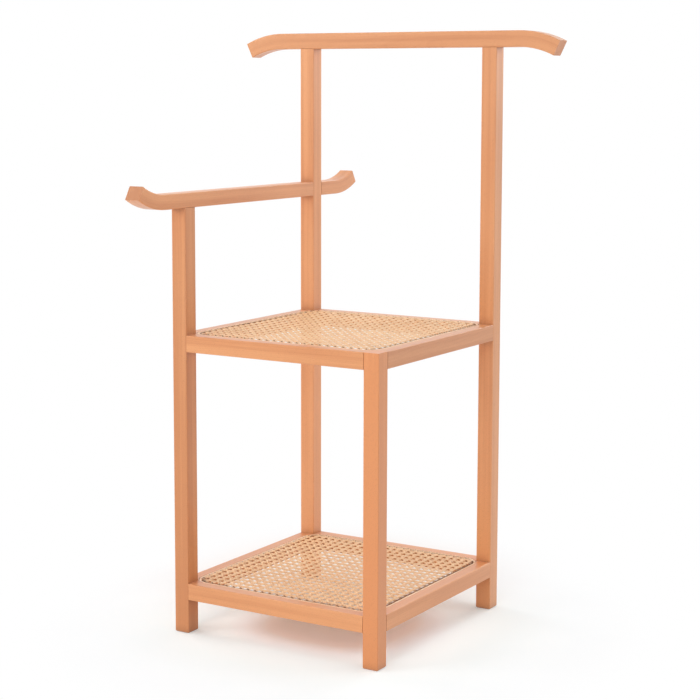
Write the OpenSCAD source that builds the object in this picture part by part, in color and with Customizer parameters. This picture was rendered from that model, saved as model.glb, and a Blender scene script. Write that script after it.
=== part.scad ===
// Clothes valet chair: four square posts, a cane seat, a cane shelf, one arm with upswept ends
// and a hanger bar with drooping ends.
// Millimetres. +X runs along the hanger bar, +Y to the back, +Z up.
// The origin lies on the floor, in the middle of the four feet.

/* [Frame] */
// Width over the outer faces of the posts
frame_w = 398; // [320:1:480]
// Depth over the outer faces of the posts
frame_d = 418; // [340:1:500]
// Height of the top of the seat frame
seat_h = 508; // [420:1:560]
// Height of the top of the shelf frame
shelf_h = 86; // [60:1:160]
// Height of the underside of the arm
arm_h = 719; // [640:1:800]
// Height of the rear posts, up to the underside of the hanger bar
post_h = 985; // [880:1:1100]

/* [Timber] */
// Side of the square stock of posts and rails
stock = 28; // [26:0.5:32]
// Radius of the eased long edges
edge_r = 1.5; // [0.5:0.25:2.5]
// Chamfer round the foot of each post
foot_chamfer = 2; // [0.5:0.25:4]

/* [Arm] */
// Thickness of the arm, top to bottom
arm_t = 25; // [20:0.5:30]
// Length of the arm's straight stretch
arm_straight = 520; // [440:1:600]
// Radius of its upswept ends, at the middle of the bar
arm_bend_r = 128; // [60:1:200]
// Angle that each end sweeps up
arm_bend = 30; // [10:1:50]

/* [Hanger bar] */
// Thickness of the hanger bar, top to bottom
hanger_t = 28; // [22:0.5:32]
// Length of its straight stretch
hanger_straight = 480; // [400:1:560]
// Radius of its drooping ends, at the middle of the bar
hanger_bend_r = 162; // [80:1:240]
// Angle that each end droops
hanger_bend = 26; // [10:1:45]

/* [Cane webbing] */
// Distance from one eight-sided hole to the next, left to right
pitch_x = 14.6; // [12:0.1:20]
// Distance from one eight-sided hole to the next, front to back
pitch_y = 16.5; // [12:0.1:20]
// Width of one strand
strand_w = 2.3; // [1.5:0.1:3]
// Gap between the two strands of a pair
pair_gap = 0.7; // [0.4:0.1:1.5]
// Thickness of one strand
strand_t = 0.5; // [0.3:0.05:0.6]
// How far the webbing stands above the frame
webbing_rise = 1; // [0:0.1:1.2]
// How far the seat's pattern lies to the right of the middle
seat_shift = 7.3; // [-8:0.1:8]
// How far the shelf's pattern lies to the right of the middle
shelf_shift = -2.8; // [-8:0.1:8]

/* [Spline groove] */
// Distance from the outer face of the frame to the groove
groove_inset = 19; // [17.5:0.25:20.5]
// Width of the groove
groove_w = 6.5; // [5:0.25:7]
// Depth of the groove below the top of the frame
groove_depth = 6.5; // [5:0.25:8]
// Corner radius of the groove's outer wall
groove_corner_r = 35; // [33:0.5:45]
// How far the border of the webbing stops above the floor of the groove
border_gap = 0.5; // [0.2:0.1:1]
// How far the reed spline stands above the frame
spline_rise = 0.4; // [0.2:0.1:1.2]
// Gap where the two ends of the reed meet
spline_gap = 0.4; // [0.2:0.1:1]

/* [Corner blocks] */
// Height of the glue blocks in the inner corners
block_t = 20; // [14:0.5:24]
// Thickness of a block at its two thin ends
block_end = 1.5; // [1:0.25:3]

/* [Dowels] */
// Diameter of every dowel
dowel_d = 6; // [5:0.5:7]
// Length of the dowels between rails and posts
rail_dowel_len = 30; // [24:1:40]
// Distance from the outer face of the frame to the rails' dowels
dowel_inset = 10; // [8:0.25:11]
// Height between the two dowels at the end of a rail
dowel_spacing = 14; // [10:0.5:16]
// Length of the dowels that stand in the tops of the posts
top_dowel_len = 32; // [26:1:40]
// Distance between the two dowels in the top of a post
top_dowel_spacing = 12; // [10:0.5:15]
// Wood left above the dowels in the arm and the hanger bar
top_dowel_cover = 9; // [6:0.5:12]
// Wood left between bores that pass each other in a post
bore_web = 1; // [0.5:0.25:2]
// Room for glue at each end of a dowel
glue_gap = 1; // [0.5:0.25:2]

/* [Hidden] */

$fn = 96;
// Overshoot of a cutting solid past the face that it opens
cut = 1;

// Centre lines of the posts
post_x = (frame_w - stock) / 2;
post_y = (frame_d - stock) / 2;

// Webbing: four layers of strands, laid one on another
layers = 4;
webbing_t = layers * strand_t;
// Depth of the lip that carries it, below the top of the frame
lip_depth = webbing_t - webbing_rise;
// Length of one step along a slanting strand, from hole to hole
slant_step = norm([pitch_x, pitch_y]);
// Insets from the outer faces of the frame
groove_in = groove_inset + groove_w;
corner_c = groove_inset + groove_corner_r;
// What the strands leave of the groove's width is the reed's
spline_w = groove_w - webbing_t;
border_depth = groove_depth - border_gap;
// Centres of the rounded corners of groove, webbing and spline
corner_x = frame_w / 2 - corner_c;
corner_y = frame_d / 2 - corner_c;

// Rail dowels: the bores from two sides of a post pass without meeting
rail_bore = stock - dowel_inset - dowel_d / 2 - bore_web;
rail_bite = rail_bore - glue_gap;
rail_dowel_in = rail_dowel_len - rail_bite;
// Dowels in the tops of the posts
arm_bite = arm_t - top_dowel_cover - glue_gap;
hanger_bite = hanger_t - top_dowel_cover - glue_gap;

beech = [0.91, 0.66, 0.47];
reed = [0.93, 0.80, 0.65];
cane = [0.94, 0.80, 0.62];
peg = [0.86, 0.72, 0.52];

// ---- Profiles ----

// Cross-section of a bar with eased edges
module bar_section(w, h) {
    r = min(edge_r, w / 4, h / 4);
    square([w - 2 * r, h], center = true);
    square([w, h - 2 * r], center = true);
    for (x = [r - w / 2, w / 2 - r], y = [r - h / 2, h / 2 - r])
        translate([x, y]) circle(r);
}

// Rectangle with rounded corners, a given distance inside the outer faces of the frame
module frame_plate(inset) {
    r = corner_c - inset;
    square([frame_w - 2 * inset, frame_d - 2 * corner_c], center = true);
    square([frame_w - 2 * corner_c, frame_d - 2 * inset], center = true);
    for (x = [-corner_x, corner_x], y = [-corner_y, corner_y])
        translate([x, y]) circle(r);
}

// ---- Bars ----

// Upright bar that stands on z = 0
module upright(length) {
    linear_extrude(length) bar_section(stock, stock);
}

// Level bar along X, centred on the origin
module level_bar(length, w, h) {
    rotate([90, 0, 90]) linear_extrude(length, center = true) bar_section(w, h);
}

// Bar along X with both ends bent up by the same angle
module upswept_bar(straight, w, h, bend_r, bend) {
    level_bar(straight, w, h);
    for (side = [0, 1]) mirror([side, 0, 0])
        translate([straight / 2, 0, bend_r]) rotate([90, 90, 0])
            rotate_extrude(angle = bend) translate([bend_r, 0]) bar_section(h, w);
}

// Wedges that chamfer the foot of a post
module foot_chamfers() {
    reach = foot_chamfer + cut;
    for (turn = [0:90:270]) rotate(turn)
        translate([stock / 2 - foot_chamfer, 0, 0]) rotate([90, 0, 0])
            linear_extrude(stock + 2 * cut, center = true)
                polygon([[-cut, -cut], [reach, -cut], [reach, reach]]);
}

// ---- Dowels and their bores ----

// The two dowels, or their bores, at one end of a rail that runs off along +X
module dowel_pair(in_post, in_rail) {
    for (z = [-dowel_spacing / 2, dowel_spacing / 2])
        translate([-in_post, 0, z]) rotate([0, 90, 0]) cylinder(d = dowel_d, h = in_post + in_rail);
}

// Children placed at both ends of the front and rear rails of a frame whose top is at z
module at_cross_joints(z) {
    for (sx = [0, 1], sy = [0, 1]) mirror([sx, 0, 0]) mirror([0, sy, 0])
        translate([stock - frame_w / 2, dowel_inset - frame_d / 2, z - stock / 2]) children();
}

// Children placed at both ends of the side rails of a frame whose top is at z
module at_side_joints(z) {
    for (sx = [0, 1], sy = [0, 1]) mirror([sx, 0, 0]) mirror([0, sy, 0])
        translate([dowel_inset - frame_w / 2, stock - frame_d / 2, z - stock / 2])
            mirror([1, -1, 0]) children();
}

module rail_bores(z) {
    at_cross_joints(z) dowel_pair(rail_bore, rail_dowel_in + glue_gap);
    at_side_joints(z) dowel_pair(rail_bore, rail_dowel_in + glue_gap);
}

module rail_dowels(z) {
    at_cross_joints(z) dowel_pair(rail_bite, rail_dowel_in);
    at_side_joints(z) dowel_pair(rail_bite, rail_dowel_in);
}

// Two upright dowels, or their bores, about the point where a post meets the bar on it
module top_dowels(below, above, along) {
    for (s = [-1, 1] * top_dowel_spacing / 2)
        translate([along == "x" ? s : 0, along == "y" ? s : 0, -below])
            cylinder(d = dowel_d, h = below + above);
}

module arm_joint() { translate([-post_x, -post_y, arm_h]) children(); }

module hanger_joints() {
    for (x = [-post_x, post_x]) translate([x, post_y, post_h]) children();
}

module arm_bores() {
    arm_joint() top_dowels(top_dowel_len - arm_bite + glue_gap, arm_bite + glue_gap, "y");
}

module hanger_bores() {
    hanger_joints()
        top_dowels(top_dowel_len - hanger_bite + glue_gap, hanger_bite + glue_gap, "x");
}

// ---- Frame ----

module post(x, y, length) {
    color(beech) difference() {
        translate([x, y, 0]) upright(length);
        translate([x, y, 0]) foot_chamfers();
        rail_bores(seat_h);
        rail_bores(shelf_h);
        children();
    }
}

// Half of the crossing of arm and rear left post: the post keeps the half towards the seat
module post_notch() {
    translate([-frame_w / 2 - cut, frame_d / 2 - stock - cut, arm_h])
        cube([stock / 2 + cut, stock + 2 * cut, arm_t]);
}

module arm_notch() {
    translate([-post_x, frame_d / 2 - stock, arm_h - cut])
        cube([stock / 2 + cut, stock, arm_t + 2 * cut]);
}

module front_left_post() { post(-post_x, -post_y, arm_h) arm_bores(); }
module front_right_post() { post(post_x, -post_y, seat_h); }
module rear_left_post() {
    post(-post_x, post_y, post_h) {
        post_notch();
        hanger_bores();
    }
}
module rear_right_post() { post(post_x, post_y, post_h) hanger_bores(); }

// Groove for the spline, and the lip inside it, which is lower than the rest of the frame
module panel_recess(z) {
    translate([0, 0, z - groove_depth]) linear_extrude(groove_depth + cut) difference() {
        frame_plate(groove_inset);
        frame_plate(groove_in);
    }
    translate([0, 0, z - lip_depth]) linear_extrude(lip_depth + cut) frame_plate(groove_in - cut);
}

// Rail along X, between two posts
module cross_rail(side, z) {
    color(beech) difference() {
        translate([0, side * post_y, z - stock / 2]) level_bar(frame_w - 2 * stock, stock, stock);
        panel_recess(z);
        rail_bores(z);
    }
}

// Rail along Y, between two posts
module side_rail(side, z) {
    color(beech) difference() {
        translate([side * post_x, 0, z - stock / 2]) rotate(90)
            level_bar(frame_d - 2 * stock, stock, stock);
        panel_recess(z);
        rail_bores(z);
    }
}

// Glue blocks that fill the inner corners, hollowed round the webbing's corner
module corner_blocks(z) {
    leg = corner_c - stock;
    color(beech) difference() {
        for (sx = [0, 1], sy = [0, 1]) mirror([sx, 0, 0]) mirror([0, sy, 0])
            translate([corner_x, corner_y, z - block_t]) linear_extrude(block_t) difference() {
                square(leg);
                circle(leg - block_end);
            }
        panel_recess(z);
    }
}

// ---- Arm and hanger bar ----

module arm_rail() {
    color(beech) difference() {
        translate([-post_x, 0, arm_h + arm_t / 2]) rotate(90)
            upswept_bar(arm_straight, stock, arm_t, arm_bend_r, arm_bend);
        arm_notch();
        arm_bores();
    }
}

module hanger_rail() {
    color(beech) difference() {
        translate([0, post_y, post_h + hanger_t / 2]) mirror([0, 0, 1])
            upswept_bar(hanger_straight, stock, hanger_t, hanger_bend_r, hanger_bend);
        hanger_bores();
    }
}

// ---- Webbing ----

// Places of the strands of the pairs that lie within a half width, pair by pair
function pair_places(half, pitch, shift) =
    let (n = ceil(half / pitch) + 1)
    [for (i = [-n:n - 1], s = [-1, 1])
        let (p = (i + 0.5) * pitch + s * (strand_w + pair_gap) / 2 + shift)
        if (abs(p) + strand_w < half) p];

// Places of the slanting strands, each half a pitch off the crossings of the pairs
function slant_places(shift) =
    let (lip_r = corner_c - groove_in,
         reach = (corner_x * pitch_y + corner_y * pitch_x) / slant_step + lip_r - 2 * strand_w,
         step = pitch_x * pitch_y / slant_step,
         n = ceil(reach / step) + 1)
    [for (i = [-n:n - 1])
        let (p = (i + 0.5) * step + shift * pitch_y / slant_step)
        if (abs(p) < reach) p];

module strands(places) {
    length = frame_w + frame_d;
    for (p = places) translate([p, 0]) square([strand_w, length], center = true);
}

module warp_strands(shift) { strands(pair_places(frame_w / 2 - groove_in, pitch_x, shift)); }
module weft_strands() { rotate(90) strands(pair_places(frame_d / 2 - groove_in, pitch_y, 0)); }
module rising_strands(shift) { rotate(-atan2(pitch_x, pitch_y)) strands(slant_places(shift)); }
module falling_strands(shift) { rotate(atan2(pitch_x, pitch_y)) strands(slant_places(shift)); }

// One layer of strands over the lip, and its border, which is pressed down the groove's inner wall
module cane_layer(level, z) {
    near = groove_in - level * strand_t;
    far = near - strand_t;
    flat_z = level * strand_t - lip_depth;
    color(cane) {
        translate([0, 0, z + flat_z]) linear_extrude(strand_t) intersection() {
            children();
            frame_plate(far);
        }
        translate([0, 0, z - border_depth]) linear_extrude(border_depth + flat_z + strand_t)
            difference() {
                frame_plate(far);
                frame_plate(near);
            }
    }
}

// ---- Spline ----

// Sweeps a section round the frame: x is the distance from the centre of the corner, y is up
module round_frame() {
    sides = [frame_d - 2 * corner_c, frame_w - 2 * corner_c];
    for (i = [0:3])
        translate([(i == 0 || i == 3 ? 1 : -1) * corner_x, (i < 2 ? 1 : -1) * corner_y, 0])
            rotate(90 * i) {
                rotate_extrude(angle = 90) children();
                rotate([90, 0, 0]) linear_extrude(sides[i % 2]) children();
            }
}

// Round-topped reed, bent into the groove, its ends meeting in the middle of the rear rail
module spline(z) {
    top_r = spline_w / 2;
    color(reed) difference() {
        translate([0, 0, z]) round_frame() translate([groove_corner_r - top_r, 0]) {
            translate([0, spline_rise - top_r]) circle(top_r);
            translate([-top_r, -groove_depth])
                square([spline_w, groove_depth + spline_rise - top_r]);
        }
        translate([-spline_gap / 2, corner_y, z - groove_depth - cut])
            cube([spline_gap, frame_d / 2, groove_depth + spline_rise + 2 * cut]);
    }
}

// ---- Pieces ----

module seat_front_rail() { cross_rail(-1, seat_h); }
module seat_rear_rail() { cross_rail(1, seat_h); }
module seat_left_rail() { side_rail(-1, seat_h); }
module seat_right_rail() { side_rail(1, seat_h); }
module shelf_front_rail() { cross_rail(-1, shelf_h); }
module shelf_rear_rail() { cross_rail(1, shelf_h); }
module shelf_left_rail() { side_rail(-1, shelf_h); }
module shelf_right_rail() { side_rail(1, shelf_h); }
module seat_corner_blocks() { corner_blocks(seat_h); }
module shelf_corner_blocks() { corner_blocks(shelf_h); }
module seat_cane_warp() { cane_layer(0, seat_h) warp_strands(seat_shift); }
module seat_cane_weft() { cane_layer(1, seat_h) weft_strands(); }
module seat_cane_rising() { cane_layer(2, seat_h) rising_strands(seat_shift); }
module seat_cane_falling() { cane_layer(3, seat_h) falling_strands(seat_shift); }
module shelf_cane_warp() { cane_layer(0, shelf_h) warp_strands(shelf_shift); }
module shelf_cane_weft() { cane_layer(1, shelf_h) weft_strands(); }
module shelf_cane_rising() { cane_layer(2, shelf_h) rising_strands(shelf_shift); }
module shelf_cane_falling() { cane_layer(3, shelf_h) falling_strands(shelf_shift); }
module seat_spline() { spline(seat_h); }
module shelf_spline() { spline(shelf_h); }
module seat_dowels() { color(peg) rail_dowels(seat_h); }
module shelf_dowels() { color(peg) rail_dowels(shelf_h); }
module arm_dowels() {
    color(peg) arm_joint() top_dowels(top_dowel_len - arm_bite, arm_bite, "y");
}
module hanger_dowels() {
    color(peg) hanger_joints() top_dowels(top_dowel_len - hanger_bite, hanger_bite, "x");
}

front_left_post();
front_right_post();
rear_left_post();
rear_right_post();
seat_front_rail();
seat_rear_rail();
seat_left_rail();
seat_right_rail();
shelf_front_rail();
shelf_rear_rail();
shelf_left_rail();
shelf_right_rail();
arm_rail();
hanger_rail();
seat_corner_blocks();
shelf_corner_blocks();
seat_cane_warp();
seat_cane_weft();
seat_cane_rising();
seat_cane_falling();
shelf_cane_warp();
shelf_cane_weft();
shelf_cane_rising();
shelf_cane_falling();
seat_spline();
shelf_spline();
seat_dowels();
shelf_dowels();
arm_dowels();
hanger_dowels();
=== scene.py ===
# %% [markdown]
# # A clothes valet chair in beech and cane
#
# The chair stands beside a bed: a jacket hangs on the bar, trousers lie over the arm, shoes go on the
# shelf. Its frame is square beech stock, glued and dowelled. Seat and shelf are panels of woven cane.
#
# The measured solids of the frame are loaded first, in metres, with X along the hanger bar, Y to the
# back and Z up. What is already right in them, the timber, only gets its finish here. The cane and the
# reed round it are made anew, because their weave is finer than the solids show.

# %% Load the measured frame
import math

import bpy
from mathutils import Matrix, Vector


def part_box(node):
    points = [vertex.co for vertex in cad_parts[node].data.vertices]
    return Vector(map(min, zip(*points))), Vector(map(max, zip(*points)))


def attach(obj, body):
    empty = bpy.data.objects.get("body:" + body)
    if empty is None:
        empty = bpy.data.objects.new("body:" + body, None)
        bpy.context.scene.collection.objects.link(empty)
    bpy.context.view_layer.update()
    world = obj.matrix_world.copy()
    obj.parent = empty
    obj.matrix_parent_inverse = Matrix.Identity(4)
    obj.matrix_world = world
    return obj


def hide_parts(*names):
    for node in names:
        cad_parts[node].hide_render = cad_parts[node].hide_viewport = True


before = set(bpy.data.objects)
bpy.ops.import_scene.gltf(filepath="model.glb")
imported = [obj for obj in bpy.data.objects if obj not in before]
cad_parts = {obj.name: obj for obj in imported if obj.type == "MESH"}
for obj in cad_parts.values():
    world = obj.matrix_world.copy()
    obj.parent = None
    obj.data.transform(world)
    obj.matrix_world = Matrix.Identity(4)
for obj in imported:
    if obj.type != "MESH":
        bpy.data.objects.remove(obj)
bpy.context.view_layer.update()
scene = bpy.context.scene

# %% [markdown]
# ## The camera
#
# A camera is fixed by where it stands, which way it looks and its lens. Guessing these and comparing
# pictures is slow. Here the straight edges of the chair in the photograph were fitted to the same edges
# of the solids, which gives all of them at once: the camera stands in front on the right, at the height
# of the posts' tops, and looks slightly down. A small downward shift of the lens keeps the posts
# upright, as a furniture photographer would.

# %% Stand the camera
STAND = (1.5619, -2.5255, 0.9207)
YAW, PITCH, ROLL = math.radians(31.428), math.radians(6.785), math.radians(0.146)
FOCAL_LENGTH, SENSOR_WIDTH, LENS_SHIFT = 90.45, 36, -0.08

forward = Vector((-math.sin(YAW) * math.cos(PITCH), math.cos(YAW) * math.cos(PITCH), -math.sin(PITCH)))
level_right = Vector((math.cos(YAW), math.sin(YAW), 0))
level_up = level_right.cross(forward)
right = level_right * math.cos(ROLL) + level_up * math.sin(ROLL)
up = level_up * math.cos(ROLL) - level_right * math.sin(ROLL)

lens = bpy.data.cameras.new("camera")
lens.lens = FOCAL_LENGTH
lens.sensor_width = SENSOR_WIDTH
lens.shift_y = LENS_SHIFT
camera = bpy.data.objects.new("camera", lens)
turn = Matrix((right, up, -forward)).transposed().to_4x4()
camera.matrix_world = Matrix.Translation(STAND) @ turn
scene.collection.objects.link(camera)
scene.camera = camera
scene.view_settings.view_transform = "Standard"
print("camera looks along", [round(v, 3) for v in forward])

# %% [markdown]
# ## Light
#
# The photograph is a cut-out on white: soft light from all sides, and hardly a shadow. Five large lamps
# in a ring and one overhead make that light. How strong each lamp is was not guessed. Light adds up, so
# the chair can be rendered once under each lamp alone, and the mix that gives every face its tone in the
# photograph follows from those pictures by least squares.

# %% Light the room
LAMPS = {
    # name: where it stands, what it is aimed at, size in metres, watts
    "front_left_lamp": ((-2.9, -2.9, 2.3), (0, 0, 0.5), 2.0, 49),
    "front_lamp": ((0.3, -4.1, 1.2), (0, 0, 0.5), 2.0, 47),
    "left_lamp": ((-4.0, 0.6, 1.9), (0, 0, 0.3), 2.0, 49),
    "back_lamp": ((0.6, 3.9, 1.9), (0, 0, 0.3), 2.0, 51),
    "back_right_lamp": ((3.4, 2.4, 1.9), (0, 0, 0.3), 2.0, 31),
    "overhead_lamp": ((0.1, 0.1, 4.5), (0, 0, 0), 3.0, 50),
}


def lamp(name, place, aim, size, power):
    """A square lamp of soft light, aimed at a point."""
    data = bpy.data.lights.new(name, "AREA")
    data.shape = "SQUARE"
    data.size = size
    data.energy = power
    made = bpy.data.objects.new(name, data)
    made.location = place
    made.rotation_mode = "QUATERNION"
    made.rotation_quaternion = (Vector(aim) - Vector(place)).to_track_quat("-Z", "Y")
    scene.collection.objects.link(made)


for name, settings in LAMPS.items():
    lamp(name, *settings)
print("lamps", list(LAMPS))

# %% [markdown]
# ## Helpers for node trees
#
# Materials and geometry are both made of nodes. Here a node is added with its settings and inputs in one
# call, so that a tree reads like a list of steps. An input gets either a plain number or colour, which
# is written into it, or what another node gives, which is linked to it.

# %% Add a node
def fill(tree, socket, value):
    """Links the value if it comes from another node, and otherwise writes it into the socket."""
    if isinstance(value, bpy.types.NodeSocket):
        tree.links.new(value, socket)
    else:
        socket.default_value = value


def add(tree, kind, inputs=None, **settings):
    """Adds one node with its settings and inputs."""
    made = tree.nodes.new(kind)
    for name, value in settings.items():
        setattr(made, name, value)
    for name, value in (inputs or {}).items():
        fill(tree, made.inputs[name], value)
    return made


print("helpers: fill, add")

# %% [markdown]
# ### Sums of numbers and of points
#
# Most nodes are sums: of numbers, or of points and directions, which are three numbers each. Drawn by
# hand they fill a screen. As functions they stay as short as the formula, and the same functions serve
# the finishes and the geometry.

# %% Reckon with nodes
def calc(tree, operation, *terms):
    """The result of one sum of numbers."""
    return add(tree, "ShaderNodeMath", dict(enumerate(terms)), operation=operation).outputs[0]


def plus(tree, first, *others):
    """All terms added up, from left to right."""
    for term in others:
        first = calc(tree, "ADD", first, term)
    return first


def times(tree, first, *others):
    """All terms multiplied, from left to right."""
    for term in others:
        first = calc(tree, "MULTIPLY", first, term)
    return first


def minus(tree, one, other):
    """One number less another."""
    return calc(tree, "SUBTRACT", one, other)


def combine(tree, operation, *terms):
    """The result of one sum of points or directions."""
    made = add(tree, "ShaderNodeVectorMath", dict(enumerate(terms)), operation=operation)
    return made.outputs["Value" if operation == "LENGTH" else "Vector"]


def vector(tree, x=0.0, y=0.0, z=0.0):
    """A point made of three numbers."""
    return add(tree, "ShaderNodeCombineXYZ", {0: x, 1: y, 2: z}).outputs[0]


def parts_of(tree, point):
    """The three numbers of a point."""
    return add(tree, "ShaderNodeSeparateXYZ", {0: point}).outputs


print("sums: calc, plus, times, minus, combine, vector, parts_of")

# %% [markdown]
# ## A world that is white only to the lens
#
# The world has two jobs: it fills the shadows of the wood, and it is what the lens sees beyond the
# floor. They need different strengths. One strength for both would give either grey surroundings or
# bleached wood. A light path node tells which ray is asking, so the world is white for the lens and in
# reflections, and dim for the rays that light the wood.

# %% Dim the world for the wood
WORLD_ON_WOOD, WORLD_TO_LENS = 0.39, 1.0


def seen_by_lens(tree):
    """1 for rays from the lens, from mirrors and through glass, and 0 for rays that light the wood."""
    ray = add(tree, "ShaderNodeLightPath").outputs
    direct = calc(tree, "MAXIMUM", ray["Is Camera Ray"], ray["Is Glossy Ray"])
    return calc(tree, "MAXIMUM", direct, ray["Is Transmission Ray"])


world = bpy.data.worlds.new("white_room")
scene.world = world
world.use_nodes = True
room = world.node_tree
room.nodes.clear()
strength = add(room, "ShaderNodeMapRange", {
    "Value": seen_by_lens(room), "To Min": WORLD_ON_WOOD, "To Max": WORLD_TO_LENS,
})
sky = add(room, "ShaderNodeBackground", {"Color": (1, 1, 1, 1), "Strength": strength.outputs["Result"]})
add(room, "ShaderNodeOutputWorld", {"Surface": sky.outputs[0]})
print("world", world.name, len(room.nodes), "nodes")

# %% [markdown]
# ### Soft steps and colours
#
# Shadows and natural surfaces have few hard edges. A soft step turns any number into a share with a
# gentle start and end, and a mix lays one colour over another by such a share. Colours are written as
# they look on a screen, from 0 to 255, which is easier to picture than the linear numbers that a shader
# wants.

# %% Soften and mix
def spread(tree, value, low, high, to_low=0.0, to_high=1.0):
    """The value from low to high, brought to a new range, soft at both ends."""
    made = add(tree, "ShaderNodeMapRange", {
        "Value": value, "From Min": low, "From Max": high, "To Min": to_low, "To Max": to_high,
    }, interpolation_type="SMOOTHSTEP")
    return made.outputs["Result"]


def mix_paint(tree, share, one, other):
    """A mix of two colours. The mixing node has a row of sockets for each kind of value."""
    return add(tree, "ShaderNodeMix", {0: share, 6: one, 7: other}, data_type="RGBA").outputs[2]


def paint(red, green, blue):
    """A colour as it looks on a screen, as linear numbers."""
    screen = [v / 255 for v in (red, green, blue)]
    linear = [v / 12.92 if v <= 0.04045 else ((v + 0.055) / 1.055) ** 2.4 for v in screen]
    return (*linear, 1.0)


print("half grey on a screen is, in linear numbers,", [round(v, 3) for v in paint(128, 128, 128)])

# %% [markdown]
# ## A floor that fades into white
#
# The floor is white paper. Under the chair it keeps the chair's shadow, and further out it has to end in
# pure white. More light would do that, but it would bleach the wood too. So the paper has a faint glow
# of its own, which only the lens and reflections see. It is missing under the chair and behind it, where
# the shadow falls, strongest in a ring round the feet, and turns into plain white half a metre out. The
# ring is a rounded square, like the chair's foot print. Further out the glow has less red in it than
# green and blue, because the wood throws a warm light on the paper, which it makes up for. Under the
# chair, inside the ring, what glow there is is red, a painted warm bounce from the wood. Behind the
# chair the paper itself is painted warmer, a painted bounce of warm light from the wood.

# %% Mix the paper
# Two sets of rings: round the feet, and round the shadow behind them.
FEET = {"middle": (0.022, -0.028), "scale": (1.126, 1.181), "power": 2.7}
SHADOW = {"middle": (-0.16, 0.26), "scale": (1.0, 0.95), "power": 3.0}
# The glow from the feet outwards: the distance, and red, green and blue.
# Inside the ring the glow is red, a painted warm bounce from the wood.
GLOWS = ((0.1, (0.04, 0.0, 0.0)), (0.13, (0.1, 0.04, 0.03)), (0.18, (0.22, 0.24, 0.26)),
         (0.21, (0.22, 0.28, 0.29)), (0.3, (0.11, 0.19, 0.2)), (0.5, (0.0, 0.04, 0.07)))
WHITE_FROM, WHITE_BY = 0.204, 0.565
# The paper's colour, and the warmer colour painted behind the chair as a painted bounce of light from the
# wood.
PAPER, PAINTED_BOUNCE_PAPER = paint(247, 245, 244), paint(246, 240, 235)


def new_material(name):
    """An empty material and its node tree."""
    made = bpy.data.materials.new(name)
    made.use_nodes = True
    made.node_tree.nodes.clear()
    return made, made.node_tree


def ring_of(tree, place, middle, scale, power):
    """How far out a point of the floor lies, in rings that are rounded squares."""
    x, y, _ = parts_of(tree, place)
    off = [calc(tree, "ABSOLUTE", calc(tree, "MULTIPLY_ADD", v, s, -s * m))
           for v, m, s in zip((x, y), middle, scale)]
    return calc(tree, "POWER", plus(tree, *(calc(tree, "POWER", v, power) for v in off)), 1 / power)


paper, tree = new_material("white_paper")
place = add(tree, "ShaderNodeTexCoord").outputs["Object"]
from_shadow = ring_of(tree, place, **SHADOW)
# Behind the chair the glow is left out, and the paper is painted warmer there: a painted bounce of warm
# light.
behind, painted_bounce_share = spread(tree, from_shadow, 0.4, 0.14), spread(tree, from_shadow, 0.3, 0.1)
shown = times(tree, seen_by_lens(tree), minus(tree, 1.0, behind))
far = spread(tree, combine(tree, "LENGTH", place), WHITE_FROM, WHITE_BY)
glows = add(tree, "ShaderNodeValToRGB", {0: ring_of(tree, place, **FEET)})
while len(glows.color_ramp.elements) < len(GLOWS):
    glows.color_ramp.elements.new(0.5)
for stop, (distance, colour) in zip(glows.color_ramp.elements, GLOWS):
    stop.position = distance
    stop.color = (*colour, 1.0)
lit = add(tree, "ShaderNodeBsdfDiffuse", {"Color": mix_paint(tree, painted_bounce_share, PAPER, PAINTED_BOUNCE_PAPER)})
glow = add(tree, "ShaderNodeEmission", {"Color": glows.outputs[0], "Strength": shown})
near = add(tree, "ShaderNodeAddShader", {0: lit.outputs[0], 1: glow.outputs[0]})
white = add(tree, "ShaderNodeEmission", {"Color": (1, 1, 1, 1), "Strength": 1.0})
faded = add(tree, "ShaderNodeMixShader", {
    0: times(tree, far, shown), 1: near.outputs[0], 2: white.outputs[0],
})
add(tree, "ShaderNodeOutputMaterial", {"Surface": faded.outputs[0]})
print("paper", len(tree.nodes), "nodes")

# %% [markdown]
# ### Laying the sheet
#
# A photographer rolls out a sheet far larger than the chair, so that its edge stays out of the picture.
# One flat square does the same here, as the paper's glow already hides where floor and wall would meet.

# %% Lay the floor
FLOOR_HALF = 6

corners = [(x * FLOOR_HALF, y * FLOOR_HALF, 0) for x, y in ((-1, -1), (1, -1), (1, 1), (-1, 1))]
sheet = bpy.data.meshes.new("floor")
sheet.from_pydata(corners, [], [(0, 1, 2, 3)])
floor = bpy.data.objects.new("floor", sheet)
floor.data.materials.append(paper)
scene.collection.objects.link(floor)
print("floor", floor.dimensions[:])

# %% [markdown]
# ## Beech
#
# Beech is a pale wood that steams to a warm pink. Its grain is quiet: broad soft bands, fine rings, and
# everywhere short brown flecks, the cut rays. A photograph of wood would repeat and would have one
# scale only. So the wood is worked out in space instead, as if every bar were sawn from a log: the
# pattern runs through the solid, and the faces of a bar match round its edges.
#
# The group takes a point of the bar, with z along the grain. Bands, patches, fibres, rings and flecks
# are each stretched along z: noise for the first three, circles round the log's pith that wander a
# little for the rings, and small cells for the flecks, of which only some are filled.

# %% Grow the pattern of beech
PITH = (0.07, 0.11, 0)
RINGS_TO_METRE, RING_WANDER = 420, 9
FLECKS_TO_METRE = (1500, 1500, 330)


def noise(tree, point, lumps, detail=2.0):
    """Noise with so many lumps to each unit of x, y and z."""
    scaled = combine(tree, "MULTIPLY", point, lumps)
    made = add(tree, "ShaderNodeTexNoise", {"Vector": scaled, "Scale": 1.0, "Detail": detail})
    return made.outputs["Fac"]


def between(tree, value, rise, fall):
    """A share that goes up to 1 over the first stretch and back to 0 over the second."""
    return times(tree, spread(tree, value, *rise), spread(tree, value, *reversed(fall)))


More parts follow.
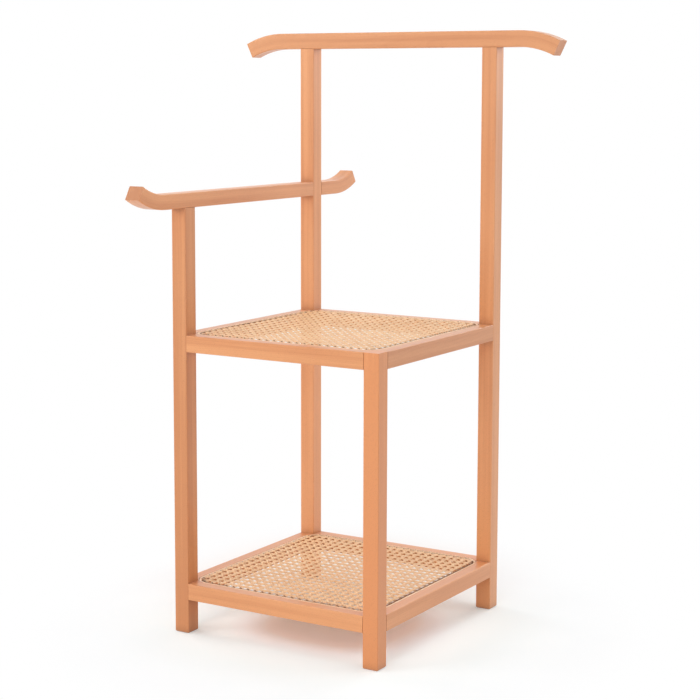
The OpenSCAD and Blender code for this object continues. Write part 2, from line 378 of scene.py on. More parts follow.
def group_of(name, takes, gives):
    """A new shader group with these inputs and outputs, each a name and a kind."""
    group = bpy.data.node_groups.new(name, "ShaderNodeTree")
    for way, sockets in (("INPUT", takes), ("OUTPUT", gives)):
        for label, kind in sockets.items():
            group.interface.new_socket(label, in_out=way, socket_type="NodeSocket" + kind)
    return group, add(group, "NodeGroupInput").outputs, add(group, "NodeGroupOutput").inputs


beech, taken, given = group_of(
    "beech_grain",
    {"Point": "Vector", "End": "Float", "Edge": "Float", "Painted foot shade": "Float",
     "Light": "Color", "Deep": "Color"},
    {"Color": "Color", "Roughness": "Float", "Height": "Float"},
)
point = taken["Point"]
bands = noise(beech, point, (95, 95, 1.6), 3.0)
patches = noise(beech, point, (14, 14, 4.0), 1.0)
fibres = noise(beech, point, (1500, 1500, 22))

from_pith = combine(beech, "MULTIPLY", combine(beech, "SUBTRACT", point, PITH), (1, 1, 0))
wander = times(beech, noise(beech, point, (18, 18, 2.2)), RING_WANDER)
ring_count = plus(beech, times(beech, combine(beech, "LENGTH", from_pith), RINGS_TO_METRE), wander)
late_wood = between(beech, calc(beech, "FRACT", ring_count), (0.45, 0.9), (0.93, 1.0))

cells = add(beech, "ShaderNodeTexVoronoi", {
    "Vector": combine(beech, "MULTIPLY", point, FLECKS_TO_METRE), "Scale": 1.0,
}).outputs
draw = add(beech, "ShaderNodeSeparateColor", {0: cells["Color"]}).outputs[0]
fleck = times(beech, spread(beech, cells["Distance"], 0.34, 0.16), spread(beech, draw, 0.45, 0.55),
              minus(beech, 1.0, taken["End"]))
print("pattern of beech", len(beech.nodes), "nodes")

# %% [markdown]
# ### From pattern to colour
#
# A wood's colour moves between two tones, a light and a deep one. Every part of the pattern adds its
# share of depth, and so do the end grain and a painted shade at the foot of a post, which is a painted
# light where it is below zero. Rubbed edges take some away. Flecks are browner than both tones, so they
# are laid over at the end. Gloss and relief come from the same fibres and flecks, so that what looks
# like a pore also catches the light like one.

# %% Colour the beech
FLECK_BROWN = paint(150, 88, 52)

depth = plus(
    beech,
    spread(beech, bands, 0.3, 0.72, -0.07, 0.62),
    spread(beech, patches, 0.3, 0.7, 0.0, 0.3),
    times(beech, late_wood, 0.15),
    spread(beech, fibres, 0.3, 0.7, -0.07, 0.07),
    times(beech, taken["End"], 0.7),
    # A painted shade at the foot of a post, and a painted light where it is below zero.
    taken["Painted foot shade"],
    times(beech, taken["Edge"], -0.12),
)
wood = mix_paint(beech, depth, taken["Light"], taken["Deep"])
fill(beech, given["Color"], mix_paint(beech, times(beech, fleck, 0.42), wood, FLECK_BROWN))
fill(beech, given["Roughness"], plus(beech, 0.36, times(beech, fibres, 0.14)))
fill(beech, given["Height"], minus(beech, times(beech, fibres, 0.5), fleck))
print("beech group", len(beech.nodes), "nodes")

# %% [markdown]
# ### Grain that follows the bar
#
# Every bar was sawn from its own board, so its grain runs along it: up the posts, along the rails. The
# group wants z along the grain, so a point only has its numbers put in another order. The bent bars
# need one more step. There the grain turns with the bar, so a point is first unrolled: beyond the
# straight stretch its angle round the bend gives how far along the bar it lies, and its distance from
# the centre of the bend gives its height in the bar.

# %% Turn and unroll the grain
# Half the straight stretch, the radius, the height of the bar's middle, and 1 for ends that rise or -1.
BENDS = {"arm_rail": (0.26, 0.128, 0.7315, 1), "hanger_rail": (0.24, 0.162, 0.999, -1)}


def unrolled(tree, run, z, half, radius, middle, rise):
    """How far along a bent bar and how high in it a point lies, as if the bar were straight."""
    reach = calc(tree, "ABSOLUTE", run)
    past = calc(tree, "MAXIMUM", minus(tree, reach, half), 0.0)
    drop = times(tree, minus(tree, middle + rise * radius, z), rise)
    spoke = calc(tree, "SQRT", plus(tree, times(tree, past, past), times(tree, drop, drop)))
    round_bend = times(tree, calc(tree, "ARCTAN2", past, drop), radius)
    length = plus(tree, calc(tree, "MINIMUM", reach, half), round_bend)
    return times(tree, length, calc(tree, "SIGN", run)), times(tree, minus(tree, radius, spoke), rise)


def grain_point(tree, place, along, bend=None):
    """The point of a bar with z along the grain. bend is a row of BENDS."""
    if along == "z":
        return place
    x, y, z = parts_of(tree, place)
    run, side = (x, y) if along == "x" else (y, x)
    if bend:
        run, z = unrolled(tree, run, z, *bend)
    return vector(tree, side, z, run)


print("bent bars", list(BENDS))

# %% [markdown]
# ### End grain and painted shade
#
# The ends of a bar show end grain, which drinks more lacquer and looks darker. The normal tells where
# that is, and it also finds the eased edges, which are rubbed a little paler. Two painted shades darken
# the wood as well: one in nooks and joints between bars, found by how much of the room a point can see,
# and one in the grooves of the seat and the shelf, found by how far a point lies inside the frame and
# below its top. Painting these by hand would take a picture for each bar, and would have to be done
# again for every change of size.

# %% Finish one bar
# The brown of the painted shade in the grooves of the frame and on the cane beside them.
GROOVE_SHADE_BROWN = paint(124, 72, 38)
# Where the painted groove shade begins and ends, inwards from the frame's faces and down from its top.
GROOVE_SHADE_ACROSS = (0.0188, 0.0193), (0.0277, 0.0279)
GROOVE_SHADE_DOWN = (0.0003, 0.0008), (0.0068, 0.0072)
# How far the painted shade in nooks reaches and how dark it gets, and how dark the painted groove shade
# gets.
NOOK_SHADE_REACH, NOOK_SHADE_SHARE, GROOVE_SHADE_SHARE = 0.02, 0.35, 0.9
# Between these heights fades the painted shade at a post's foot, a painted light where it is below zero.
FOOT_SHADE_HEIGHTS = 0.0, 0.9

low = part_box("front_left_post")[0]
half_w, half_d = -low.x, -low.y


def groove_shade_mask(tree, place, top):
    """Where shade is painted: 1 in a groove of the frame whose top is at this height, and 0 elsewhere."""
    inset = combine(tree, "SUBTRACT", (half_w, half_d, 0), combine(tree, "ABSOLUTE", place))
    inset_x, inset_y, _ = parts_of(tree, inset)
    sunk = minus(tree, top, parts_of(tree, place)[2])
    across = between(tree, calc(tree, "MINIMUM", inset_x, inset_y), *GROOVE_SHADE_ACROSS)
    return times(tree, across, between(tree, sunk, *GROOVE_SHADE_DOWN))


def beech_finish(name, along, light, deep, side="x", bend=None, log=(0, 0, 0), painted_foot_shade=0.0,
                 groove_top=0.0, soaked=0.0):
    """Lacquered beech whose grain runs along x, y or z. side is the axis that is square to the bar and,
    where it bends, to the bend. log moves the bar to another place in the log. painted_foot_shade is how
    much darker the wood is painted at the floor than further up, a painted shade; below zero it paints
    light. groove_top is the height of the top of a groove whose walls get a painted shade.
    soaked is how dark the ends are."""
    finish, tree = new_material(name)
    coords = add(tree, "ShaderNodeTexCoord").outputs
    place, normal = coords["Object"], dict(zip("xyz", parts_of(tree, coords["Normal"])))
    end = spread(tree, calc(tree, "ABSOLUTE", normal[along]), 0.66, 0.84)
    facing = times(tree, normal[side], normal[side])
    wood = add(tree, "ShaderNodeGroup", {
        "Point": combine(tree, "ADD", grain_point(tree, place, along, bend), log),
        "End": end, "Edge": times(tree, facing, minus(tree, 1.0, facing), 4.0),
        # A painted shade towards the floor, and a painted light where the number is below zero.
        "Painted foot shade": spread(tree, parts_of(tree, place)[2], *FOOT_SHADE_HEIGHTS, painted_foot_shade, 0.0),
        "Light": light, "Deep": deep,
    }, node_tree=beech).outputs

    # Painted shade in nooks and joints, darker where a point sees less of the room.
    open_room = add(tree, "ShaderNodeAmbientOcclusion", {"Distance": NOOK_SHADE_REACH}, samples=8)
    painted_nook_shade = spread(tree, open_room.outputs["AO"], 0.95, 0.4, 0.0, NOOK_SHADE_SHARE)
    # The darker of the painted nook shade and the soaked end grain.
    dark = calc(tree, "MAXIMUM", painted_nook_shade, times(tree, end, soaked))
    # Painted shade on the walls of the groove under the webbing.
    if groove_top:
        groove_shade = times(tree, groove_shade_mask(tree, place, groove_top), GROOVE_SHADE_SHARE)
        dark = calc(tree, "MAXIMUM", dark, groove_shade)
    relief = add(tree, "ShaderNodeBump", {
        "Height": wood["Height"], "Strength": 0.22, "Distance": 0.00012,
    })
    skin = add(tree, "ShaderNodeBsdfPrincipled", {
        "Base Color": mix_paint(tree, dark, wood["Color"], GROOVE_SHADE_BROWN),
        "Roughness": wood["Roughness"], "Normal": relief.outputs[0],
        "Coat Weight": 0.5, "Coat Roughness": 0.3, "IOR": 1.5,
    })
    add(tree, "ShaderNodeOutputMaterial", {"Surface": skin.outputs[0]})
    return finish


print("frame over the posts", round(2 * half_w, 4), "by", round(2 * half_d, 4))

# %% [markdown]
# ### A board for each bar
#
# No two boards are alike, and a chair whose bars all match looks moulded. So every bar lies elsewhere
# in the log and has its own tone. The shelf's rails are a little paler, in part a painted light where
# the seat above shades them. The posts are the longest, and along them shade and light are painted:
# those in front are deeper at the foot, a painted shade, and those at the back paler, a painted light.

# %% Finish every bar
PALE, DEEP = paint(228, 158, 104), paint(209, 134, 80)
BARS = {
    # name: grain along, axis square to the bar, tone, place in the log, painted shade at the foot (below
    # zero, painted light)
    "front_left_post": ("z", "x", 0.96, (0.0, 0.0, 0.0), 0.4),
    "front_right_post": ("z", "x", 1.17, (0.11, 0.02, 0.3), 1.1),
    "rear_left_post": ("z", "x", 1.04, (0.03, 0.2, 0.6), -0.5),
    "rear_right_post": ("z", "x", 1.01, (0.25, 0.04, 0.9), -0.5),
    "seat_front_rail": ("x", "z", 1.02, (0.5, 0.0, 0.1), 0.0),
    "seat_rear_rail": ("x", "z", 1.0, (0.52, 0.3, 0.2), 0.0),
    "seat_left_rail": ("y", "z", 1.0, (0.3, 0.4, 0.4), 0.0),
    "seat_right_rail": ("y", "z", 0.98, (0.7, 0.1, 0.5), 0.0),
    # The shelf's rails have paler tones, in part a painted light where the seat above shades them.
    "shelf_front_rail": ("x", "z", 1.03, (0.2, 0.6, 0.7), 0.0),
    "shelf_rear_rail": ("x", "z", 1.06, (0.9, 0.0, 0.8), 0.0),
    "shelf_left_rail": ("y", "z", 1.06, (0.15, 0.8, 0.3), 0.0),
    "shelf_right_rail": ("y", "z", 1.06, (0.6, 0.5, 0.6), 0.0),
    "arm_rail": ("y", "x", 1.04, (0.4, 0.0, 0.2), 0.0),
    "hanger_rail": ("x", "y", 0.97, (0.8, 0.3, 0.1), 0.0),
    "seat_corner_blocks": ("z", "x", 0.97, (0.1, 0.9, 0.0), 0.0),
    "shelf_corner_blocks": ("z", "x", 0.97, (0.35, 0.7, 0.0), 0.0),
}
DOWELS = {"seat_dowels": "x", "shelf_dowels": "x", "arm_dowels": "z", "hanger_dowels": "z"}
SOAKED_ENDS = {"arm_rail": 0.3}


def dress(name, finish):
    """Gives a solid of the frame its finish."""
    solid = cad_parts[name]
    solid.data.materials.clear()
    solid.data.materials.append(finish)


for name, (along, side, tone, log, painted_foot_shade) in BARS.items():
    light, deep = ([v * tone for v in colour[:3]] + [1.0] for colour in (PALE, DEEP))
    groove_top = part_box(name)[1].z if name.startswith(("seat", "shelf")) else 0.0
    dress(name, beech_finish(name + "_beech", along, light, deep, side, BENDS.get(name), log, painted_foot_shade,
                             groove_top, SOAKED_ENDS.get(name, 0.0)))
for name, along in DOWELS.items():
    dress(name, beech_finish(name + "_beech", along, PALE, DEEP))
print("finished", len(BARS), "bars and", len(DOWELS), "sets of dowels")

# %% [markdown]
# ## Woven cane
#
# Chair cane is the outer skin of a climbing palm, split into strands: glossy and slightly domed on top,
# flat below. The webbing is woven in four directions. Pairs of strands run front to back and pairs run
# left to right, and where they cross, each strand goes over one and under the other of the pair that
# it meets. Single strands then slant both ways across the corners of the squares that are left: one set
# passes under the first pairs and over the second, the other set the other way round. That is what
# makes the holes eight-sided.
#
# The strands are domed here, which lets more light past their edges than the flat ones in the solids.
# So they are a little wider and thicker, 2.7 by 0.66 mm for 2.3 by 0.5 mm, on the same centre lines and
# in the same thickness of webbing, and the holes look nearly as closed as they do in the photograph.

# %% Sizes of the webbing
# The frame's stock, and the groove in it.
STOCK = 0.028
GROOVE_INSET, GROOVE_W, GROOVE_DEPTH, GROOVE_CORNER = 0.019, 0.0065, 0.0065, 0.035
# How far apart the holes lie, and how far to the right of the middle the pattern does.
PITCH_X, PITCH_Y = 0.0146, 0.0165
SHIFTS = {"seat": 0.0073, "shelf": -0.0028}
# The strands, the webbing that they make, how far it sags, and how far it goes past the lip.
STRAND_W, STRAND_T, PAIR_GAP = 0.0027, 0.00066, 0.0003
WEBBING_T, WEBBING_RISE = 0.002, 0.001
SAGS = {"seat": 0.005, "shelf": 0.003}
TUCK = 0.0045

lip_inset = GROOVE_INSET + GROOVE_W
corner = GROOVE_INSET + GROOVE_CORNER
over_lip = [round(2 * (half - lip_inset), 4) for half in (half_w, half_d)]
print("webbing over the lip", over_lip)

# %% [markdown]
# ### Strands side by side
#
# A few hundred strands that all follow one rule are work for Geometry Nodes: one straight line is drawn,
# repeated, and each copy moved to its place. The number of a copy says where that is. In a paired set,
# two copies share a place, one on either side of it. Then the whole set is turned to its direction. Doing
# this with a loop over curves would work too, but it would leave hundreds of objects to join.

# %% Lay the strands side by side
STRAND_INPUTS = (
    ("Pitch across", "Float", PITCH_X), ("Pitch along", "Float", PITCH_Y), ("Shift", "Float", 0.0),
    ("Strand width", "Float", STRAND_W), ("Strand thickness", "Float", STRAND_T),
    ("Places", "Int", 11), ("Direction", "Float", 0.0), ("Strand length", "Float", 0.55),
    ("Points", "Int", 300), ("Lip height", "Float", 0.5), ("Core half width", "Float", 0.14),
    ("Core half depth", "Float", 0.15), ("Lip corner", "Float", 0.03), ("Tuck", "Float", TUCK),
    ("Sag", "Float", 0.0), ("Opening half width", "Float", 0.17), ("Opening half depth", "Float", 0.18),
    ("Seed", "Int", 1), ("Cane", "Material", None),
)


def new_geometry_tree(name, wanted):
    """A geometry tree with these inputs, each a name, a kind and a value to start with."""
    tree = bpy.data.node_groups.new(name, "GeometryNodeTree")
    for label, kind, value in wanted:
        made = tree.interface.new_socket(label, in_out="INPUT", socket_type="NodeSocket" + kind)
        if value is not None:
            made.default_value = value
    tree.interface.new_socket("Geometry", in_out="OUTPUT", socket_type="NodeSocketGeometry")
    return tree, add(tree, "NodeGroupInput").outputs


def here(tree):
    """The three numbers of the point that a node is working on."""
    return parts_of(tree, add(tree, "GeometryNodeInputPosition").outputs[0])


def copied_lines(tree, given, for_each_place):
    """Copies of one straight line along y, and the number of each copy."""
    half_length = times(tree, given["Strand length"], 0.5)
    line = add(tree, "GeometryNodeCurvePrimitiveLine", {
        "Start": vector(tree, y=times(tree, half_length, -1.0)), "End": vector(tree, y=half_length),
    })
    line = add(tree, "GeometryNodeResampleCurve", {"Curve": line.outputs[0], "Count": given["Points"]})
    copies = add(tree, "GeometryNodeDuplicateElements", {
        "Geometry": line.outputs[0], "Amount": times(tree, given["Places"], 2.0 * for_each_place),
    }, domain="SPLINE")
    return copies.outputs["Geometry"], copies.outputs["Duplicate Index"]


def strand_places(tree, given, number, paired):
    """How far each strand lies from the middle, and in a pair on which side of its place, -1 or 1."""
    place = calc(tree, "FLOOR", calc(tree, "DIVIDE", number, 2.0)) if paired else number
    centre = times(tree, plus(tree, minus(tree, place, given["Places"]), 0.5), given["Pitch across"])
    if not paired:
        return centre, None
    side = minus(tree, times(tree, calc(tree, "MODULO", number, 2.0), 2.0), 1.0)
    apart = times(tree, plus(tree, given["Strand width"], given["Pair gap"]), 0.5)
    return plus(tree, centre, times(tree, side, apart)), side


def turned(tree, across, run, sine, cosine):
    """Where a point of a strand lies once its set is turned to its direction."""
    x = minus(tree, times(tree, across, cosine), times(tree, run, sine))
    y = plus(tree, times(tree, across, sine), times(tree, run, cosine))
    return x, y


print("inputs of a set", [label for label, _, _ in STRAND_INPUTS])

# %% [markdown]
# ### Over and under
#
# Strands rise and fall as they pass each other: those of a pair by half their thickness, the slanting
# ones by all of it. A sine would do for plain cloth. Here the crossings are not evenly spaced, because
# the strands come in pairs, so one turn of the wave is drawn as a curve through a few points. In a
# pair, the two strands take opposite sides of the wave. A slanting strand stays down across one kind of
# pair and up across the other.

# %% Draw the two waves
# Points of one turn: how far along it, and the height, both from 0 to 1.
OVER_ONE = (STRAND_W + PAIR_GAP) / (PITCH_X + PITCH_Y)
PAIR_WAVE = ((0, 0.5), (OVER_ONE, 1), (0.3, 0.68), (0.5, 0.5), (0.7, 0.32), (1 - OVER_ONE, 0), (1, 0.5))
SLANT_WAVE = ((0, 0), (0.16, 0.04), (0.25, 0.5), (0.34, 0.96), (0.5, 1), (0.66, 0.96), (0.75, 0.5),
              (0.84, 0.04), (1, 0))


def drawn_wave(tree, turns, points):
    """The height, from -1 to 1, of a wave that is drawn through these points."""
    made = add(tree, "ShaderNodeFloatCurve", {"Value": calc(tree, "FRACT", turns)})
    line = made.mapping.curves[0]
    while len(line.points) < len(points):
        line.points.new(0.5, 0.5)
    for dot, (x, y) in zip(line.points, points):
        dot.location = (x, y)
        dot.handle_type = "AUTO_CLAMPED"
    made.mapping.update()
    return minus(tree, times(tree, made.outputs[0], 2.0), 1.0)


def pair_lift(tree, given, run, side):
    """How far a strand of a pair is lifted as it goes over and under the pairs that cross it."""
    turns = plus(tree, calc(tree, "DIVIDE", run, given["Pitch along"]), 0.5)
    half_thickness = times(tree, given["Strand thickness"], 0.5)
    return times(tree, drawn_wave(tree, turns, PAIR_WAVE), side, half_thickness)


def slanting_lift(tree, given, x):
    """How far a slanting strand is lifted as it goes over one kind of pair and under the other."""
    turns = calc(tree, "DIVIDE", x, given["Pitch along"])
    return times(tree, drawn_wave(tree, turns, SLANT_WAVE), given["Order"], given["Strand thickness"])


print("a pair's wave is highest at", round(OVER_ONE, 3), "of a turn")

# %% [markdown]
# ### Over the lip and down
#
# Where a strand passes the lip of the frame it turns down into the groove: its distance past the lip
# becomes first an angle round the edge, then its depth. The lip has round corners, so the distance is
# measured from a smaller rectangle inside it, which rounds it off by itself.
#
# Cane gives a little, so a panel sags in the middle. The photograph shows that: seen at a low angle, the
# holes at the front of the seat are closed, because the webbing slopes away there, and those further
# back let the light through. A shallow bowl, zero all round the opening, does it.

# %% Fold and sag
# The height of the webbing's middle in strand thicknesses, and how far out a fold goes for its height.
MIDDLE_OF_WEBBING, FOLD_REACH = 1.53, 0.6
ZEROS, ONES = (0.0, 0.0, 0.0), (1.0, 1.0, 1.0)


def sag_at(tree, given, flat):
    """How far the panel sags at a point."""
    opening = vector(tree, given["Opening half width"], given["Opening half depth"], 1.0)
    off_middle = combine(tree, "DIVIDE", flat, opening)
    inside = combine(tree, "SUBTRACT", ONES, combine(tree, "MULTIPLY", off_middle, off_middle))
    bowl_x, bowl_y, _ = parts_of(tree, combine(tree, "MAXIMUM", inside, ZEROS))
    return times(tree, bowl_x, bowl_y, given["Sag"])


def past_lip_of(tree, given, flat):
    """How far a point lies past the lip, less than zero inside it, and the way out from there."""
    core = vector(tree, given["Core half width"], given["Core half depth"])
    past_core = combine(tree, "SUBTRACT", combine(tree, "ABSOLUTE", flat), core)
    past_core = combine(tree, "MAXIMUM", past_core, ZEROS)
    outward = combine(tree, "MULTIPLY", past_core, combine(tree, "SIGN", flat))
    past_lip = minus(tree, combine(tree, "LENGTH", past_core), given["Lip corner"])
    return past_lip, combine(tree, "NORMALIZE", outward)


def folded(tree, given, flat, lift, past_lip, way_out):
    """Where a point of a strand comes to lie, once it is woven, folded over the lip and sagged."""
    above = plus(tree, lift, times(tree, given["Strand thickness"], MIDDLE_OF_WEBBING))
    over = calc(tree, "MAXIMUM", past_lip, 0.0)
    arc = times(tree, above, math.pi / 2)
    angle = times(tree, calc(tree, "MINIMUM", calc(tree, "DIVIDE", over, arc), 1.0), math.pi / 2)
    swing = minus(tree, times(tree, above, FOLD_REACH, calc(tree, "SINE", angle)), over)
    sunk = calc(tree, "MAXIMUM", minus(tree, over, arc), 0.0)
    height = minus(tree, times(tree, above, calc(tree, "COSINE", angle)), sunk)
    height = minus(tree, plus(tree, height, given["Lip height"]), sag_at(tree, given, flat))
    aside = combine(tree, "ADD", flat, combine(tree, "MULTIPLY", way_out, swing))
    return combine(tree, "ADD", aside, vector(tree, z=height))


print("middle of the webbing over the lip", round(MIDDLE_OF_WEBBING * STRAND_T, 5))

# %% [markdown]
# ### The strand's section
#
# A strand is flat below and domed on top. Seen from a chair's distance, six points are enough for that:
# a ring of six has its two lower points drawn apart until they make a flat base. More points would make
# the webbing, already most of the chair's triangles, heavier and no better. A sweep sees its section
# from behind, so left and right and up and down are swapped in it.

# %% Sweep a section
# The least angle of a sharp edge, in radians, and how much wider the base is drawn.
SHARP, BASE_WIDENS = 0.9, 0.8
# A ring of six is 1.73 high for a radius of 1. This share of it is one thickness.
RING_TO_THICKNESS = 0.577


def strand_section(tree, given):
    """A ring of six points, drawn into a strand's section."""
    ring = add(tree, "GeometryNodeCurvePrimitiveCircle", {"Resolution": 6, "Radius": 1.0})
    ring_x, ring_y, _ = here(tree)
    widen = plus(tree, times(tree, calc(tree, "LESS_THAN", ring_y, -0.1), BASE_WIDENS), 1.0)
    x = times(tree, ring_x, widen, times(tree, given["Strand width"], 0.5), -1.0)
    y = times(tree, ring_y, times(tree, given["Strand thickness"], -RING_TO_THICKNESS))
    return add(tree, "GeometryNodeSetPosition", {
        "Geometry": ring.outputs["Curve"], "Position": vector(tree, x, y),
    }).outputs[0]


def sweep(tree, curve, section, material):
    """Sweeps the section along the curve, smooth but for sharp edges, and ends the tree."""
    swept = add(tree, "GeometryNodeCurveToMesh", {
        "Curve": curve, "Profile Curve": section, "Fill Caps": True,
    })
    smooth = add(tree, "GeometryNodeSetShadeSmooth", {"Geometry": swept.outputs[0], "Shade Smooth": True})
    angle = add(tree, "GeometryNodeInputMeshEdgeAngle").outputs["Unsigned Angle"]
    creased = add(tree, "GeometryNodeSetShadeSmooth", {
        "Geometry": smooth.outputs[0], "Selection": calc(tree, "GREATER_THAN", angle, SHARP),
        "Shade Smooth": False,
    }, domain="EDGE")
    real = add(tree, "GeometryNodeRealizeInstances", {"Geometry": creased.outputs[0]})
    done = add(tree, "GeometryNodeSetMaterial", {"Geometry": real.outputs[0], "Material": material})
    add(tree, "NodeGroupOutput", {0: done.outputs[0]})


print("edges sharper than", round(math.degrees(SHARP)), "degrees stay sharp")

# %% [markdown]
# ### The whole tree
#
# Now the steps are put together. What a node works out for a point holds for where the point is at that
# moment. So the three numbers that the finish needs are stored first, and the ends past the groove are
# cut off, while the strands are still straight. Only then do the points move. A painted shade darkens
# the pairs just to the lip, and the single strands from a few millimetres further in, where the
# photograph has dark dots along the rails.

# %% Build both trees
# How far past the lip the painted shade on the strands rises, for pairs and for slanting strands; below
# zero is inside the lip.
PAIR_GROOVE_SHADE, SLANT_GROOVE_SHADE = (-0.0005, 0.001), (-0.005, -0.0015)


def store(tree, geometry, name, value):
    """Keeps a number on every point, under a name by which a material can read it."""
    return add(tree, "GeometryNodeStoreNamedAttribute", {
        "Geometry": geometry, "Name": name, "Value": value,
    }, data_type="FLOAT", domain="POINT").outputs[0]


def strand_tree(name, paired):
    """The tree of one set of strands: pairs that run square to the frame, or single slanting ones."""
    own_input = ("Pair gap", "Float", PAIR_GAP) if paired else ("Order", "Float", 1.0)
    tree, given = new_geometry_tree(name, (*STRAND_INPUTS, own_input))
    strands, number = copied_lines(tree, given, 2 if paired else 1)
    run = here(tree)["Y"]
    across, side = strand_places(tree, given, number, paired)
    sine, cosine = calc(tree, "SINE", given["Direction"]), calc(tree, "COSINE", given["Direction"])
    x, y = turned(tree, across, run, sine, cosine)
    lift = pair_lift(tree, given, run, side) if paired else slanting_lift(tree, given, x)
    flat = vector(tree, plus(tree, x, given["Shift"]), y)
    past_lip, way_out = past_lip_of(tree, given, flat)

    draw = add(tree, "FunctionNodeRandomValue", {"ID": number, "Seed": given["Seed"]}, data_type="FLOAT")
    tone = [s for s in draw.outputs if s.type == "VALUE"][0]
    # Painted shade on the strands near the groove.
    painted_groove_shade = spread(tree, past_lip, *(PAIR_GROOVE_SHADE if paired else SLANT_GROOVE_SHADE))
    for label, value in (("run", run), ("tone", tone), ("painted_groove_shade", painted_groove_shade)):
        strands = store(tree, strands, label, value)
    strands = add(tree, "GeometryNodeDeleteGeometry", {
        "Geometry": strands, "Selection": calc(tree, "GREATER_THAN", past_lip, given["Tuck"]),
    }, domain="POINT")
    strands = add(tree, "GeometryNodeSetPosition", {
        "Geometry": strands.outputs[0],
        "Position": folded(tree, given, flat, lift, past_lip, way_out),
    })
    strands = add(tree, "GeometryNodeSetCurveNormal", {
        "Curve": strands.outputs[0], "Normal": vector(tree, cosine, sine),
    }, mode="FREE")
    sweep(tree, strands.outputs[0], strand_section(tree, given), given["Cane"])
    return tree


paired_strands = strand_tree("paired_strands", True)
slanting_strands = strand_tree("slanting_strands", False)
print("trees", len(paired_strands.nodes), len(slanting_strands.nodes), "nodes")

# %% [markdown]
# ### The skin of the cane
#
# Every strand was split from a different cane, so each has its own tone of straw. Along it the tone
# wanders, and here and there is a brown mark. Near the groove a shade is painted on it. The tree stored
# three numbers on every point: how far along the strand it lies, the strand's own tone, and how much
# painted shade it takes. The material reads those, so that the pattern follows each strand over and
# under the others and no two strands are alike. On the reed only the first is stored, and the others
# count as zero.

# %% Finish the cane
# Lumps of noise to a metre of strand, and how far apart in the noise two strands can lie.
CLOUDS_TO_METRE, MARKS_TO_METRE, STRANDS_APART = 55.0, 33.0, 400.0
# How dark the painted shade near the groove makes the cane.
CANE_GROOVE_SHADE_SHARE = 0.85


def number_of(tree, name):
    """A number that a geometry tree stored on the points."""
    return add(tree, "ShaderNodeAttribute", attribute_name=name).outputs["Fac"]


def cane_finish(name, pale, deep, mark):
    """Cane or reed, whose tone wanders along the strand."""
    finish, tree = new_material(name)
    tone = number_of(tree, "tone")
    spot = vector(tree, y=number_of(tree, "run"), z=tone)
    clouds = noise(tree, spot, (1.0, CLOUDS_TO_METRE, STRANDS_APART), 3.0)
    marks = noise(tree, spot, (1.0, MARKS_TO_METRE, STRANDS_APART))
    depth = plus(tree, times(tree, tone, 0.5), spread(tree, clouds, 0.3, 0.7, -0.1, 0.45))
    skin_paint = mix_paint(tree, depth, pale, deep)
    skin_paint = mix_paint(tree, spread(tree, marks, 0.62, 0.74, 0.0, 0.5), skin_paint, mark)
    # Painted shade on the strands near the groove.
    groove_shade = times(tree, number_of(tree, "painted_groove_shade"), CANE_GROOVE_SHADE_SHARE)
    skin_paint = mix_paint(tree, groove_shade, skin_paint, GROOVE_SHADE_BROWN)
    relief = add(tree, "ShaderNodeBump", {"Height": clouds, "Strength": 0.25, "Distance": 0.00008})
    skin = add(tree, "ShaderNodeBsdfPrincipled", {
        "Base Color": skin_paint, "Roughness": spread(tree, clouds, 0.3, 0.7, 0.34, 0.5),
        "Normal": relief.outputs[0], "IOR": 1.5,
    })
    add(tree, "ShaderNodeOutputMaterial", {"Surface": skin.outputs[0]})
    return finish


cane_skin = cane_finish("cane_skin", paint(253, 217, 174), paint(235, 185, 135), paint(176, 118, 70))
reed_skin = cane_finish("reed_skin", paint(252, 216, 180), paint(238, 190, 150), paint(210, 158, 116))
print("finishes", cane_skin.name, reed_skin.name)

# %% [markdown]
# ### From a tree to a mesh
#
# A tree runs as a modifier on an object. Its inputs are set before it runs for the first time, the
# result is kept as a plain mesh, and the modifier is taken off, so that nothing is worked out again
# later. Every finished piece then rides on the frame and stands for certain solids, which it replaces
# and hides. Its finish is the material that its tree gave it.

# %% Run a tree and keep its mesh
def set_inputs(modifier, values):
    """Writes the named inputs of a geometry tree into its modifier."""
    for item in modifier.node_group.interface.items_tree:
        if item.item_type == "SOCKET" and item.in_out == "INPUT" and item.name in values:
            modifier[item.identifier] = values[item.name]


def grow(name, tree, values, start=None):
    """The mesh that a tree makes, as a new object at the origin."""
    seed = bpy.data.objects.new(name, start or bpy.data.meshes.new(name))
    scene.collection.objects.link(seed)
    modifier = seed.modifiers.new("grow", "NODES")
    modifier.node_group = tree
    set_inputs(modifier, values)
    depsgraph = bpy.context.evaluated_depsgraph_get()
    mesh = bpy.data.meshes.new_from_object(seed.evaluated_get(depsgraph))
    seed.modifiers.remove(modifier)
    bpy.data.objects.remove(seed)
    made = bpy.data.objects.new(name, mesh)
    mesh.name = name
    scene.collection.objects.link(made)
    return made


def finish_piece(piece, slot, *solids):
    """Rides on the frame and stands for its solids, which it hides. slot is not used."""
    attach(piece, "root")
    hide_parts(*solids)


# %% [markdown]
# ### Weaving both panels
#
# The same two trees make all eight sets of strands. Only their inputs differ: the direction, how many
# strands fit, and whether a slanting set dives under the front-to-back pairs or the others. The slanting
# sets run from hole to hole, so their direction and distance follow from the two pitches.

